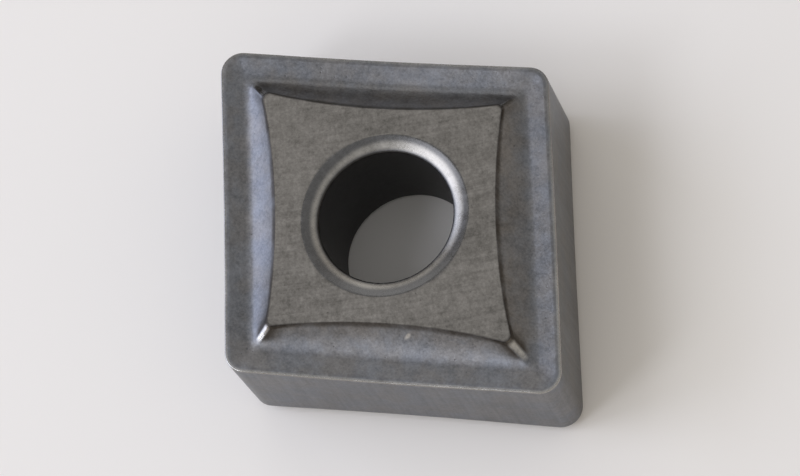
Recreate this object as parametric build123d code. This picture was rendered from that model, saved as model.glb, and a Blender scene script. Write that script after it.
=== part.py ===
"""Indexable turning insert, 80 degree rhombic, double sided, in cemented carbide.

One pressed and sintered body.  The flanks are square to the seat, both faces carry the same
pressed chip groove, and a raised seat around the bore is ground flat on each face.
Millimetres.  +Z is up, +X runs along the long diagonal, and the origin is where the axis of
the bore meets the bottom seat.
"""
from build123d import *

import os
from math import cos, radians, sin, tan

# Outline
inscribed_circle = 12.7     # diameter of the circle that touches the four sides
nose_angle = 80.0           # angle of the two cutting corners
nose_radius = 0.8           # rounding of all four corners

# Heights
thickness = 4.76            # from a seat to the cutting corner of the opposite face
seat_rise = 0.40            # how far the seat stands above the cutting corners
edge_dip = 0.15             # how far the cutting edge falls from a corner to mid side

# Section of the chip groove, from the cutting edge inwards
edge_hone = 0.05            # small flat that breaks the cutting edge
land_width = 0.15           # level land behind the edge
rake_width = 0.60           # slope that falls from the land
rake_angle = 11.0
floor_width = 0.35          # hollow at the foot of the rake
floor_rise = 0.015          # climb of the hollow up to the foot of the back wall
wall_width = 0.97           # back wall in plan, at mid side
wall_flare = 0.45           # how much narrower the back wall is beside the corners
wall_sag = 0.50             # hollow of the back wall: 0 is flat, 1 starts it level

# Bore
bore_diameter = 5.16
mouth_width = 0.62          # rounded mouth in plan
mouth_depth = 0.40
mouth_radius = 1.6          # rounding between the seat and the bore
lip_radius = 0.30           # smaller rounding where the mouth turns down into the bore

# Cutters reach this far past the body
clearance = 1.0

# Sizes that follow
height = thickness + seat_rise
half_nose = radians(nose_angle / 2)
side_length = inscribed_circle / sin(2 * half_nose)
half_long = side_length * cos(half_nose)
half_short = side_length * sin(half_nose)
bore_radius = bore_diameter / 2

# Where the straight part of a side starts and ends, along it from the cutting corner
straight_start = nose_radius / tan(half_nose)
straight_end = side_length - nose_radius * tan(half_nose)


def side_plane(distance):
    """Plane square to one side of the rhombus, at a distance along it from the cutting corner.

    Its x axis points inwards from the side, and its y axis points up from the cutting corner.
    """
    along = (-cos(half_nose), sin(half_nose), 0)
    inwards = (-sin(half_nose), -cos(half_nose), 0)
    start = (half_long + distance * along[0], distance * along[1], thickness)
    return Plane(origin=start, x_dir=inwards, z_dir=along)


def groove_profile(dip, wall):
    """The space that the chip groove clears above one side, in section.

    From the outside: the hone, the land, the rake, the hollow floor and the back wall, a
    hollow curve that steepens up to the seat and runs straight on past it.  The edge lies at
    a dip below the corner.
    """
    land_end = edge_hone + land_width
    rake_end = land_end + rake_width
    wall_foot = rake_end + floor_width
    rake_fall = rake_width * tan(radians(rake_angle))
    rake_height = -dip - rake_fall
    foot_height = rake_height + floor_rise
    mean_slope = (seat_rise - foot_height) / wall
    pull_height = foot_height + (1 - wall_sag) * mean_slope * wall / 2
    top = seat_rise + clearance
    wall_end = wall_foot + wall + clearance / (mean_slope * (1 + wall_sag))
    seat_edge = (wall_foot + wall, seat_rise)
    edge_and_rake = Polyline(
        seat_edge,
        (wall_end, top),
        (-clearance, top),
        (-clearance, -dip - edge_hone - clearance),
        (edge_hone, -dip),
        (land_end, -dip),
        (rake_end, rake_height),
    )
    hollow = TangentArc(
        (rake_end, rake_height), (wall_foot, foot_height), tangent=(rake_width, -rake_fall)
    )
    back_wall = Bezier(
        (wall_foot, foot_height), (wall_foot + wall / 2, pull_height), seat_edge
    )
    return make_face(edge_and_rake + hollow + back_wall)


# Along a side the groove falls and its back wall widens towards the middle, so it is a loft
# of three sections.  It stops on the diagonals, where the grooves of two sides meet.
end_profile = groove_profile(0, wall_width - wall_flare)
middle_profile = groove_profile(edge_dip, wall_width)
near_end = side_plane(straight_start)
middle = side_plane((straight_start + straight_end) / 2)
far_end = side_plane(straight_end)
quadrant = Box(
    inscribed_circle, inscribed_circle, 4 * height, align=(Align.MIN, Align.MIN, Align.CENTER)
)
side_groove = loft([near_end * end_profile, middle * middle_profile, far_end * end_profile])
side_groove = side_groove & quadrant

# Round a nose the same section turns about the centre of the nose
outside_centre = Rectangle(
    inscribed_circle, 4 * height, align=(Align.MAX, Align.CENTER)
)
nose_profile = end_profile & Pos(nose_radius, 0) * outside_centre
sharp_centre = (half_long - nose_radius / sin(half_nose), 0, 0)
blunt_centre = (0, half_short - nose_radius / cos(half_nose), 0)
sharp_groove = revolve(
    near_end * nose_profile, Axis(sharp_centre, (0, 0, -1)), 180 - nose_angle
)
blunt_groove = revolve(far_end * nose_profile, Axis(blunt_centre, (0, 0, 1)), nose_angle)

# Half of the ring turns onto the other half, and the top face is mirrored onto the bottom
mid_plane = Plane.XY.offset(height / 2)
half_ring = [side_groove, mirror(side_groove, Plane.XZ), sharp_groove, blunt_groove]
top_groove = half_ring + [Rot(0, 0, 180) * piece for piece in half_ring]
bottom_groove = [mirror(piece, mid_plane) for piece in top_groove]

# Blank with square flanks
rhombus = make_face(
    Polyline((half_long, 0), (0, half_short), (-half_long, 0), (0, -half_short), close=True)
)
blank = extrude(fillet(rhombus.vertices(), nose_radius), height)

# Bore with a rounded mouth on each face
throat = (bore_radius, height - mouth_depth)
mouth_edge = (bore_radius + mouth_width, height)
mouth = RadiusArc(throat, mouth_edge, mouth_radius)
bore_wall = Polyline(
    mouth_edge,
    (bore_radius + mouth_width, height + clearance),
    (0, height + clearance),
    (0, height / 2),
    (bore_radius, height / 2),
    throat,
)
bore_section = make_face(bore_wall + mouth)
lip = bore_section.vertices().sort_by_distance(throat)[0]
half_bore = revolve(Plane.XZ * fillet(lip, lip_radius), Axis.Z)
bore = half_bore + mirror(half_bore, mid_plane)

insert_body = blank - top_groove - bottom_groove - bore
insert_body.label = "insert_body"

os.makedirs("parts", exist_ok=True)
export_step(insert_body, "parts/insert_body.step")
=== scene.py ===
from math import cos, pi, radians, sin

import bpy
import numpy as np
from mathutils import Matrix, Vector


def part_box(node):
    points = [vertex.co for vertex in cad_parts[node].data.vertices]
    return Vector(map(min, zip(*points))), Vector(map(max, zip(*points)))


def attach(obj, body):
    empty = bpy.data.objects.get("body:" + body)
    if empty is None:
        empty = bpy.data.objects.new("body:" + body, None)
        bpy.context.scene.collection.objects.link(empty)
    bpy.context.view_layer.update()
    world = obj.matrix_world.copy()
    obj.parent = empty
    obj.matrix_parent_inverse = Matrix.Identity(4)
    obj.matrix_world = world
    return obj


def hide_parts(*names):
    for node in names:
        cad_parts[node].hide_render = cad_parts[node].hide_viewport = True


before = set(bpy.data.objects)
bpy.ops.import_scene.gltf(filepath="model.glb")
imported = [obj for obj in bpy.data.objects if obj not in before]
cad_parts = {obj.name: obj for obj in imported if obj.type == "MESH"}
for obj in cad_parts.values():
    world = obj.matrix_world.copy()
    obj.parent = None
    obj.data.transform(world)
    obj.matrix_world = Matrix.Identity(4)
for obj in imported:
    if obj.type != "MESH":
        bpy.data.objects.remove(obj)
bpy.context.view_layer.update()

scene = bpy.context.scene
scene.view_settings.view_transform = "Standard"

# ---------------------------------------------------------------------------------------
# Insert body.  Tungsten carbide powder in a cobalt binder, pressed to shape in a die and
# sintered.  Both faces carry the pressed chip groove, the cutting edges are brush honed,
# and the raised seats are ground flat afterwards.
# ---------------------------------------------------------------------------------------
MM = 0.001
low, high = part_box("insert_body")
HEIGHT = high.z - low.z
INSCRIBED_CIRCLE = 12.7 * MM
HALF_NOSE = np.radians(40)
NOSE_RADIUS = 0.8 * MM
SEAT_RISE = 0.40 * MM
EDGE_DIP = 0.15 * MM
HONE = 0.05 * MM
LAND = 0.15 * MM
RAKE = 0.60 * MM
RAKE_SLOPE = np.tan(np.radians(11))
FLOOR = 0.35 * MM
FLOOR_RISE = 0.030 * MM
WALL_HOLLOW = 0.38
RISER_SHARE = 0.05
RISER_HEIGHT = 0.05 * MM
RIDGE_RADIUS = 0.22 * MM
SEAT_TIPS = (7.02 * MM, 5.94 * MM)
SEAT_LEAN = np.radians(10)
BORE_RADIUS = 2.58 * MM
MOUTH_WIDTH = 0.62 * MM
MOUTH_DEPTH = 0.20 * MM
MOUTH_RADIUS = 3.2 * MM
LIP_RADIUS = 0.12 * MM

NOSE_STEPS = 14
SIDE_STEPS = 80
FLANK_NORMAL = np.pi / 2 - HALF_NOSE
SIDE_LENGTH = INSCRIBED_CIRCLE / np.sin(2 * HALF_NOSE)
HALF_LONG = SIDE_LENGTH * np.cos(HALF_NOSE)
HALF_SHORT = SIDE_LENGTH * np.sin(HALF_NOSE)


def all_round(quarter, flip_x, flip_y):
    """A quarter's values carried round the four quarters: as they are, with X reversed,
    with both reversed, and with Y reversed, so that the last station meets the first."""
    mirrored = quarter[::-1] * flip_x
    return np.concatenate([
        quarter[:-1], mirrored[:-1], quarter[:-1] * flip_x * flip_y, (quarter[::-1] * flip_y)[:-1]
    ])


def rhombus_ring(sharp_centre, blunt_centre, radius, lean=0.0):
    """Plan of a rhombus with rounded corners: an arc round a centre on the long diagonal, a
    side, and an arc round a centre on the short diagonal.  The side is a cubic curve whose
    ends leave the arcs tangentially, so with a lean it bows inwards."""
    sharp_angle = np.linspace(0, FLANK_NORMAL + lean, NOSE_STEPS + 1)
    blunt_angle = np.linspace(FLANK_NORMAL - lean, np.pi / 2, NOSE_STEPS + 1)
    sharp = radius * np.stack([np.cos(sharp_angle), np.sin(sharp_angle)], 1)
    sharp[:, 0] += sharp_centre
    blunt = radius * np.stack([np.cos(blunt_angle), np.sin(blunt_angle)], 1)
    blunt[:, 1] += blunt_centre
    start, end = sharp[-1], blunt[0]
    reach = np.linalg.norm(end - start) / 3
    leave = start + reach * np.array([-np.sin(sharp_angle[-1]), np.cos(sharp_angle[-1])])
    arrive = end - reach * np.array([-np.sin(blunt_angle[0]), np.cos(blunt_angle[0])])
    t = np.linspace(0, 1, SIDE_STEPS + 1)[1:-1, None]
    side = (
        (1 - t) ** 3 * start + 3 * t * (1 - t) ** 2 * leave
        + 3 * t ** 2 * (1 - t) * arrive + t ** 3 * end
    )
    return all_round(np.concatenate([sharp, side, blunt]), [-1, 1], [1, -1])


def offset_ring(inset):
    """The outline moved inwards: the nose radius shrinks until it reaches the ridges'."""
    radius = max(NOSE_RADIUS - inset, RIDGE_RADIUS)
    return rhombus_ring(
        HALF_LONG - (inset + radius) / np.sin(HALF_NOSE),
        HALF_SHORT - (inset + radius) / np.cos(HALF_NOSE),
        radius,
    )


along_side = np.linspace(0, 1, SIDE_STEPS + 1)[1:-1]
quarter_dip = np.concatenate([
    np.zeros(NOSE_STEPS + 1), (4 * along_side * (1 - along_side)) ** 1.5, np.zeros(NOSE_STEPS + 1)
])
edge_level = HEIGHT - SEAT_RISE - EDGE_DIP * all_round(quarter_dip, 1, 1)

# How near a station is to a diagonal, where the ridges run down from the seat's corners, and
# to the two hollows beside a ridge
crest = np.cos(np.linspace(0, np.pi / 2, NOSE_STEPS + 1))
on_ridge = all_round(np.concatenate([crest, np.zeros(SIDE_STEPS - 1), crest[::-1]]), 1, 1)
leaving = np.zeros(SIDE_STEPS - 1)
leaving[:5] = 0.9, 0.7, 0.4, 0.2, 0.05
beside_ridge = all_round(
    np.concatenate([(1 - crest) ** 2, leaving + leaving[::-1], (1 - crest[::-1]) ** 2]), 1, 1
)

# Each ring is a plan, its heights and a place along the section, which the finish reads: the
# flank ends at 1, the land at 2, the rake at 3, the floor at 4, the back wall at 5, the seat at
# 6, the mouth with its lip at 7 and the bore at 8
rings = []


def add_ring(plan, heights, place):
    """One ring of the section: a plan, its height at each station, and its place."""
    heights = np.broadcast_to(heights, len(plan))
    rings.append((np.column_stack([plan, heights]), place))


# Flank, from mid height to just below the hone
outline = offset_ring(0.0)
flank_top = edge_level - 1.15 * HONE
for share in (0.0, 0.15, 0.3, 0.45, 0.6, 0.75, 0.9, 1.0):
    add_ring(outline, (1 - share) * HEIGHT / 2 + share * flank_top, share * 0.95)

# Hone, a quarter round
for angle in np.radians([0, 15, 30, 45, 60, 75, 90]):
    add_ring(offset_ring(HONE * (1 - np.cos(angle))), edge_level - HONE * (1 - np.sin(angle)), 1.0)

# Land and rake
for share in (0.1, 0.5, 0.9, 1.0):
    add_ring(offset_ring(HONE + share * LAND), edge_level, 1.0 + share)
for share in (0.06, 0.2, 0.4, 0.6, 0.8, 0.94, 1.0):
    run = share * RAKE
    add_ring(offset_ring(HONE + LAND + run), edge_level - run * RAKE_SLOPE, 2.0 + share)

# Floor: a hollow arc that leaves the rake tangentially
rake_end = HONE + LAND + RAKE
rake_angle = np.arctan(RAKE_SLOPE)
half_turn = np.arctan2(FLOOR_RISE, FLOOR) + rake_angle
floor_radius = np.hypot(FLOOR, FLOOR_RISE) / (2 * np.sin(half_turn))
for share in np.linspace(0, 1, 11)[1:]:
    heading = share * 2 * half_turn - rake_angle
    run = floor_radius * (np.sin(heading) + np.sin(rake_angle))
    climb = floor_radius * (np.cos(rake_angle) - np.cos(heading))
    add_ring(offset_ring(rake_end + run), edge_level - RAKE * RAKE_SLOPE + climb, 3.0 + share)

# Back wall, from the straight foot to the bowed edge of the seat: it steepens as it climbs,
# and a short riser ends it
foot = rings[-1][0]
seat_edge = rhombus_ring(
    SEAT_TIPS[0] - RIDGE_RADIUS, SEAT_TIPS[1] - RIDGE_RADIUS, RIDGE_RADIUS, SEAT_LEAN
)
riser_foot = HEIGHT - RISER_HEIGHT
for share in (0.02, 0.07, 0.15, 0.25, 0.35, 0.45, 0.55, 0.65, 0.75, 0.85, 0.93, 0.98, 1.0):
    climb = share * (1 - WALL_HOLLOW) + share ** 2 * WALL_HOLLOW
    inwards = share * (1 - RISER_SHARE)
    add_ring(
        (1 - inwards) * foot[:, :2] + inwards * seat_edge,
        (1 - climb) * foot[:, 2] + climb * riser_foot,
        4.0 + inwards,
    )
for share in (0.12, 0.5, 0.88, 1.0):
    inwards = 1 - (1 - share) * RISER_SHARE
    add_ring(
        (1 - inwards) * foot[:, :2] + inwards * seat_edge,
        HEIGHT - (1 - share) * RISER_HEIGHT,
        4.0 + inwards,
    )

# Seat, from its bowed edge to the round mouth
spoke_angle = np.arctan2(seat_edge[:, 1], seat_edge[:, 0])
spokes = np.column_stack([np.cos(spoke_angle), np.sin(spoke_angle)])
mouth_edge = (BORE_RADIUS + MOUTH_WIDTH) * spokes
for share in (0.008, 0.05, 0.25, 0.5, 0.75, 0.94, 0.985, 1.0):
    add_ring((1 - share) * seat_edge + share * mouth_edge, HEIGHT, 5.0 + share)

# Mouth, an arc that rolls over from the seat, and a smaller arc that is its lip
mouth_slope = np.arctan2(MOUTH_DEPTH, MOUTH_WIDTH)
mouth_turn = np.arcsin(np.hypot(MOUTH_WIDTH, MOUTH_DEPTH) / (2 * MOUTH_RADIUS))
mouth_start, mouth_end = mouth_slope - mouth_turn, mouth_slope + mouth_turn
mouth_centre = np.array([
    BORE_RADIUS + MOUTH_RADIUS * np.sin(mouth_end),
    HEIGHT - MOUTH_DEPTH - MOUTH_RADIUS * np.cos(mouth_end),
])
lip_run = mouth_centre[0] - BORE_RADIUS - LIP_RADIUS
lip_start = np.arcsin(lip_run / (MOUTH_RADIUS - LIP_RADIUS))
lip_centre = mouth_centre + (MOUTH_RADIUS - LIP_RADIUS) * np.array([
    -np.sin(lip_start), np.cos(lip_start)
])
for centre, radius, first_heading, last_heading, first_place in (
    (mouth_centre, MOUTH_RADIUS, mouth_start, lip_start, 6.0),
    (lip_centre, LIP_RADIUS, lip_start, np.pi / 2, 6.5),
):
    for share in np.linspace(0, 1, 10)[1:]:
        heading = (1 - share) * first_heading + share * last_heading
        add_ring(
            (centre[0] - radius * np.sin(heading)) * spokes,
            centre[1] + radius * np.cos(heading),
            first_place + share / 2,
        )

# Bore wall, down to mid height
for share in (0.02, 0.08, 0.2, 0.4, 0.6, 0.8, 1.0):
    add_ring(BORE_RADIUS * spokes, (1 - share) * lip_centre[1] + share * HEIGHT / 2, 7.0 + share)

# The lower half mirrors the upper, and the rings close on themselves as a torus
upper = np.stack([ring for ring, place in rings])
places = np.array([place for ring, place in rings])
lower = (upper * [1, 1, -1] + [0, 0, HEIGHT])[-2:0:-1]
points = np.concatenate([upper, lower]) + [0, 0, low.z]
section = np.concatenate([places, places[-2:0:-1]])
ring_count, station_count = points.shape[:2]
index = np.arange(ring_count * station_count).reshape(ring_count, station_count)
right = np.roll(index, -1, axis=1)
above, right_above = np.roll(index, -1, axis=0), np.roll(right, -1, axis=0)
quads = np.stack([index, right, right_above, above], axis=-1).reshape(-1, 4)

mesh = bpy.data.meshes.new("insert")
mesh.from_pydata(points.reshape(-1, 3), [], quads)
mesh.polygons.foreach_set("use_smooth", np.ones(len(quads), bool))
for name, values in (
    ("section", np.repeat(section, station_count)),
    ("ridge", np.tile(on_ridge, ring_count)),
    ("hollow", np.tile(beside_ridge, ring_count)),
):
    attribute = mesh.attributes.new(name, "FLOAT", "POINT")
    attribute.data.foreach_set("value", values.astype(np.float32))
mesh.update()
insert = bpy.data.objects.new("insert", mesh)
scene.collection.objects.link(insert)


class Wire:
    """A socket of a node tree.  Arithmetic between wires and numbers adds Math nodes."""

    def __init__(self, tree, socket=None):
        self.tree = tree
        self.socket = socket

    def node(self, kind, settings=None, inputs=None, output=0):
        """A node of a kind: its settings are set first, then the values or links of its
        inputs, by name or number."""
        made = self.tree.nodes.new("ShaderNode" + kind)
        for name, value in (settings or {}).items():
            setattr(made, name, value)
        for name, value in (inputs or {}).items():
            if isinstance(value, Wire):
                self.tree.links.new(value.socket, made.inputs[name])
            else:
                made.inputs[name].default_value = value
        return Wire(self.tree, made.outputs[output])

    def maths(self, operation, first, second):
        return self.node("Math", {"operation": operation}, {0: first, 1: second})

    def __add__(self, other):
        return self.maths("ADD", self, other)

    def __sub__(self, other):
        return self.maths("SUBTRACT", self, other)

    def __rsub__(self, other):
        return self.maths("SUBTRACT", other, self)

    def __mul__(self, other):
        return self.maths("MULTIPLY", self, other)

    __radd__ = __add__
    __rmul__ = __mul__

    def rise(self, start, end):
        """A soft step: 0 below the start, 1 above the end."""
        return self.node(
            "MapRange", {"interpolation_type": "SMOOTHSTEP"},
            {"Value": self, "From Min": start, "From Max": end},
        )

    def span(self, bottom, top):
        """A value from 0 to 1 carried linearly to a range."""
        return self * (top - bottom) + bottom

    def vector_maths(self, operation, other=(0, 0, 0), output="Vector"):
        return self.node("VectorMath", {"operation": operation}, {0: self, 1: other}, output)

    def stretched(self, x, y, z):
        """A vector with each axis scaled by its own factor."""
        return self.vector_maths("MULTIPLY", (x, y, z))

    def along(self, direction):
        """How far a vector reaches along a direction: their dot product."""
        return self.vector_maths("DOT_PRODUCT", direction, "Value")

    def length(self):
        """The length of a vector."""
        return self.vector_maths("LENGTH", output="Value")

    def noise(self, scale, detail=3.0, roughness=0.55):
        """Fractal noise over this vector, about 0 to 1."""
        return self.node("TexNoise", {}, {
            "Vector": self, "Scale": scale, "Detail": detail, "Roughness": roughness
        })

    def toned(self, mask, colour):
        """This colour carried towards another where the mask is 1."""
        return self.node(
            "Mix", {"data_type": "RGBA"}, {"Factor": mask, 6: self, 7: colour}, output=2
        )


# Finish.  The sintered skin is a fine bluish satin, and the seats are ground to a warmer grey
# with faint crossing arcs.  The cutting edges, the ridges and the mouths' lips are painted paler,
# partly polish and wear and partly painted highlight, and the seat rims, the hollows beside the
# ridges and the bore carry painted shade.
SINTERED_COOL = (0.162, 0.169, 0.184, 1)
SINTERED_WARM = (0.172, 0.170, 0.172, 1)
GROUND = (0.213, 0.203, 0.188, 1)
HONE_POLISH_AND_HIGHLIGHT = (0.35, 0.345, 0.335, 1)
PALE_WEAR_AND_HIGHLIGHT = (0.375, 0.362, 0.340, 1)
ROLLED = (0.128, 0.128, 0.130, 1)
SHADED = (0.050, 0.050, 0.051, 1)
PAINTED_SHADE = (0.055, 0.050, 0.045, 1)
FLECK = (4.08, -2.55, 4.93)

material = bpy.data.materials.new("carbide")
material.use_nodes = True
tree = material.node_tree
shader = tree.nodes["Principled BSDF"]
source = Wire(tree)
spot = source.node("TexCoord", output="Object").stretched(1 / MM, 1 / MM, 1 / MM)
place, near_ridge, near_hollow = (
    source.node("Attribute", {"attribute_name": name}, output="Fac")
    for name in ("section", "ridge", "hollow")
)

# Masks by place along the section
flank = 1 - place.rise(0.90, 0.97)
hone = place.rise(0.95, 0.99) * (1 - place.rise(1.05, 1.6))
seat = place.rise(4.995, 5.006) * (1 - place.rise(5.99, 6.01))
# Painted shade: a dark line along the top of the back wall, just at the seat's edge
seat_rim_shade = place.rise(4.78, 4.94) * (1 - place.rise(5.0, 5.035))
mouth = place.rise(5.955, 6.01) * (1 - place.rise(6.44, 6.58))
bore = place.rise(6.43, 6.58)
on_wall = place.rise(4.0, 4.35) * (1 - place.rise(4.97, 5.0))
ridge = near_ridge.rise(0.40, 0.95) * on_wall
hollow = near_hollow * on_wall

# The mouth's lip is painted pale, partly wear and partly painted highlight, and the pale band is
# wider towards +Y
towards_plus_y = spot.along((-0.06, 1, 0)).rise(-1.0, 3.0)
lip = (place + towards_plus_y * 0.11).rise(6.21, 6.40) * (1 - place.rise(6.38, 6.56))

# Painted light on one side: towards +X and -Y the ridges and cutting edges are painted brighter as
# a highlight, and the hollows beside the ridges darker as painted shade
lit_side = spot.along((0.75, -0.66, 0)).rise(-3.5, 3.0)

cloud = spot.noise(0.45, 3)
drift = spot.stretched(-1, 1, 1).noise(0.9, 4, 0.6)
mottle = spot.noise(2.4, 5, 0.68)
grain = spot.noise(10.0, 3, 0.7)
cell = spot.node(
    "TexVoronoi", {"feature": "F1"}, {"Vector": spot, "Scale": 3.4}, output="Distance"
)
pit = (1 - cell.rise(0.06, 0.13)) * drift.rise(0.48, 0.60)

# One small burnished fleck below the seat's edge
away = spot.vector_maths("SUBTRACT", FLECK).stretched(1, 0.55, 0.55).length()
fleck = 1 - (away + mottle.span(-0.08, 0.08)).rise(0.04, 0.11)

# Grinding marks: noise drawn out along arcs round two far centres, one each way of the cup
# wheel's sweep
streaks = []
for centre_x, centre_y in ((-62.0, 48.0), (55.0, 66.0)):
    around = spot.vector_maths("SUBTRACT", (centre_x, centre_y, 0))
    reach = around.stretched(1, 1, 0).length()
    line = source.node("CombineXYZ", {}, {"X": reach * 7})
    streaks.append(line.vector_maths("ADD", spot.stretched(0.22, 0.22, 0)).noise(1.0, 4, 0.7))
scratch = streaks[0] * 0.7 + streaks[1] * 0.3

# Die marks on the flanks: noise drawn out along the pressing direction
draw = spot.stretched(5.0, 5.0, 0.22).noise(1.0, 4, 0.65)

colour = source.node("Mix", {"data_type": "RGBA"}, {
    "Factor": drift.rise(0.35, 0.65), 6: SINTERED_COOL, 7: SINTERED_WARM
}, output=2)
colour = colour.toned(seat, GROUND)
colour = colour.toned(mouth, ROLLED)
# The hone is painted paler: partly its polish, partly a painted highlight that is stronger on one
# side
hone_polish_and_highlight = hone * cloud.rise(0.30, 0.62).span(0.55, 0.95) * lit_side.span(0.45, 1.0)
# Pale paint on the lips, the ridges and the fleck: wear, and on the lips and ridges also a painted
# highlight, stronger on one side
wear_and_highlight = lip * drift.rise(0.25, 0.60).span(0.70, 0.88) + ridge * lit_side + fleck * 0.8
# Painted shade along the seat's rim and in the hollows beside the ridges, deeper on one side
painted_shade = seat_rim_shade * drift.rise(0.30, 0.62).span(0.55, 0.90) + hollow * lit_side.span(0.35, 0.95)
colour = colour.toned(hone_polish_and_highlight, HONE_POLISH_AND_HIGHLIGHT)
colour = colour.toned(wear_and_highlight, PALE_WEAR_AND_HIGHLIGHT)
# Painted shade: the bore and the inner edge of the lip are painted dark
colour = colour.toned(bore * 0.9, SHADED)
colour = colour.toned(painted_shade, PAINTED_SHADE)
tone = mottle.span(-0.45, 0.45) + cloud.span(-0.25, 0.25) + grain.span(-0.50, 0.50)
tone = tone * (1 - hone * 0.7 - mouth * 0.45)
tone = tone + seat * scratch.span(-0.45, 0.45) + flank * draw.span(-0.35, 0.35)
tone = tone - pit * 0.35
shade = source.node("CombineColor", {}, {"Red": 1 + tone, "Green": 1 + tone, "Blue": 1 + tone})
colour = colour.node(
    "Mix", {"data_type": "RGBA", "blend_type": "MULTIPLY"},
    {"Factor": 1.0, 6: colour, 7: shade}, output=2,
)

roughness = 0.40 + mottle.span(-0.08, 0.08) + grain.span(-0.05, 0.05) - seat * 0.05
roughness = roughness + seat * scratch.span(-0.10, 0.10) + bore * 0.08
roughness = roughness - hone * 0.14 - mouth * 0.12 - ridge * 0.22 + seat_rim_shade * 0.08

skin_height = grain * 0.0035 + mottle * 0.006 - pit * 0.006
seat_height = scratch * 0.0022 + grain * 0.0010
flank_height = draw * 0.004
skin = 1 - seat - hone * 0.8 - mouth * 0.7
height = skin * skin_height + seat * seat_height + flank * flank_height
relief = source.node("Bump", {}, {"Strength": 1.0, "Distance": MM, "Height": height})

tree.links.new(colour.socket, shader.inputs["Base Color"])
tree.links.new(roughness.socket, shader.inputs["Roughness"])
tree.links.new(relief.socket, shader.inputs["Normal"])
shader.inputs["Metallic"].default_value = 1.0
mesh.materials.append(material)
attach(insert, "root")
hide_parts("insert_body")

# ---------------------------------------------------------------------------------------
# Floor.  A plain pale matt sheet, wide enough to reach the horizon.
# ---------------------------------------------------------------------------------------
FLOOR_HALF = 3000 * MM
FLOOR_COLOUR = (0.80, 0.785, 0.765, 1)
floor_mesh = bpy.data.meshes.new("floor")
floor_mesh.from_pydata(
    [(-FLOOR_HALF, -FLOOR_HALF, low.z), (FLOOR_HALF, -FLOOR_HALF, low.z),
     (FLOOR_HALF, FLOOR_HALF, low.z), (-FLOOR_HALF, FLOOR_HALF, low.z)], [], [(0, 1, 2, 3)]
)
floor = bpy.data.objects.new("floor", floor_mesh)
scene.collection.objects.link(floor)
matt = bpy.data.materials.new("matt_sheet")
matt.use_nodes = True
matt_shader = matt.node_tree.nodes["Principled BSDF"]
matt_shader.inputs["Base Color"].default_value = FLOOR_COLOUR
matt_shader.inputs["Roughness"].default_value = 0.9
floor_mesh.materials.append(matt)

# ---------------------------------------------------------------------------------------
# Camera.  Close over the insert, looking steeply down across the blunt corner.
# ---------------------------------------------------------------------------------------
VIEW_AZIMUTH = radians(80.28)
VIEW_ELEVATION = radians(66.44)
VIEW_ROLL = radians(34.24)
VIEW_DISTANCE = 145.7 * MM
VIEW_WIDTH = 30.3 * MM
SENSOR = 36
back = Vector((
    sin(VIEW_AZIMUTH) * cos(VIEW_ELEVATION),
    -cos(VIEW_AZIMUTH) * cos(VIEW_ELEVATION),
    sin(VIEW_ELEVATION),
))
level_right = Vector((cos(VIEW_AZIMUTH), sin(VIEW_AZIMUTH), 0))
level_up = back.cross(level_right)
view_up = cos(VIEW_ROLL) * level_up + sin(VIEW_ROLL) * level_right
view_right = view_up.cross(back)
aim = Vector((0, 0, low.z + HEIGHT / 2))
camera_data = bpy.data.cameras.new("camera")
camera = bpy.data.objects.new("camera", camera_data)
scene.collection.objects.link(camera)
camera.matrix_world = Matrix.Translation(aim + VIEW_DISTANCE * back) @ Matrix(
    (view_right, view_up, back)
).transposed().to_4x4()
camera_data.sensor_width = SENSOR
camera_data.lens = SENSOR * VIEW_DISTANCE / VIEW_WIDTH
camera_data.clip_start = 0.001
scene.camera = camera

# ---------------------------------------------------------------------------------------
# Light.  A wide window low on the left with a brighter pane above it, two small panels, one
# near and one far, and a pale room that is dimmer towards the far side and the left.
# ---------------------------------------------------------------------------------------
LAMP_DISTANCE = 450 * MM
to_right = Vector((view_right.x, view_right.y, 0)).normalized()
to_far = Vector((-to_right.y, to_right.x, 0))


def soft_lamp(name, towards, width, depth, brightness, colour):
    """A rectangular lamp aimed at the insert from a direction given as right, far and up.
    At a brightness of 1 it looks as bright as a white card in plain light."""
    data = bpy.data.lights.new(name, "AREA")
    data.shape = "RECTANGLE"
    data.size, data.size_y = width, depth
    data.energy = brightness * pi * width * depth
    data.color = colour
    lamp = bpy.data.objects.new(name, data)
    scene.collection.objects.link(lamp)
    outwards = towards[0] * to_right + towards[1] * to_far + Vector((0, 0, towards[2]))
    turn = outwards.to_track_quat("Z", "Y").to_matrix().to_4x4()
    lamp.matrix_world = Matrix.Translation(aim + LAMP_DISTANCE * outwards.normalized()) @ turn


soft_lamp("window", (-0.93, 0.10, 0.34), 0.50, 0.32, 2.55, (0.72, 0.79, 1.0))
soft_lamp("window_pane", (-0.68, -0.02, 0.75), 0.19, 0.30, 2.8, (0.88, 0.90, 1.0))
soft_lamp("near_panel", (-0.60, -0.46, 0.75), 0.10, 0.15, 7.4, (0.88, 0.91, 1.0))
soft_lamp("far_panel", (-0.24, 0.72, 0.64), 0.26, 0.16, 0.98, (1.0, 1.0, 1.0))

ROOM_BRIGHT = 0.76
ROOM_DIM = 0.15
ROOM_TOP = 0.59
ROOM_LOW = (1.0, 0.88, 0.74, 1)
ROOM_HIGH = (1.0, 0.985, 0.96, 1)
world = bpy.data.worlds.new("room")
scene.world = world
world.use_nodes = True
room = Wire(world.node_tree)
gaze = room.node("TexCoord", output="Generated")
horizon = gaze.along(0.45 * to_right - 0.9 * to_far).rise(-1.0, 0.3).span(ROOM_DIM, ROOM_BRIGHT)
overhead = gaze.along((0, 0, 1)).rise(0.25, 1.0)
level = horizon * (1 - overhead) + overhead * ROOM_TOP
tint = room.node(
    "Mix", {"data_type": "RGBA"}, {"Factor": overhead, 6: ROOM_LOW, 7: ROOM_HIGH}, output=2
)
background = world.node_tree.nodes["Background"]
world.node_tree.links.new(level.socket, background.inputs["Strength"])
world.node_tree.links.new(tint.socket, background.inputs["Color"])
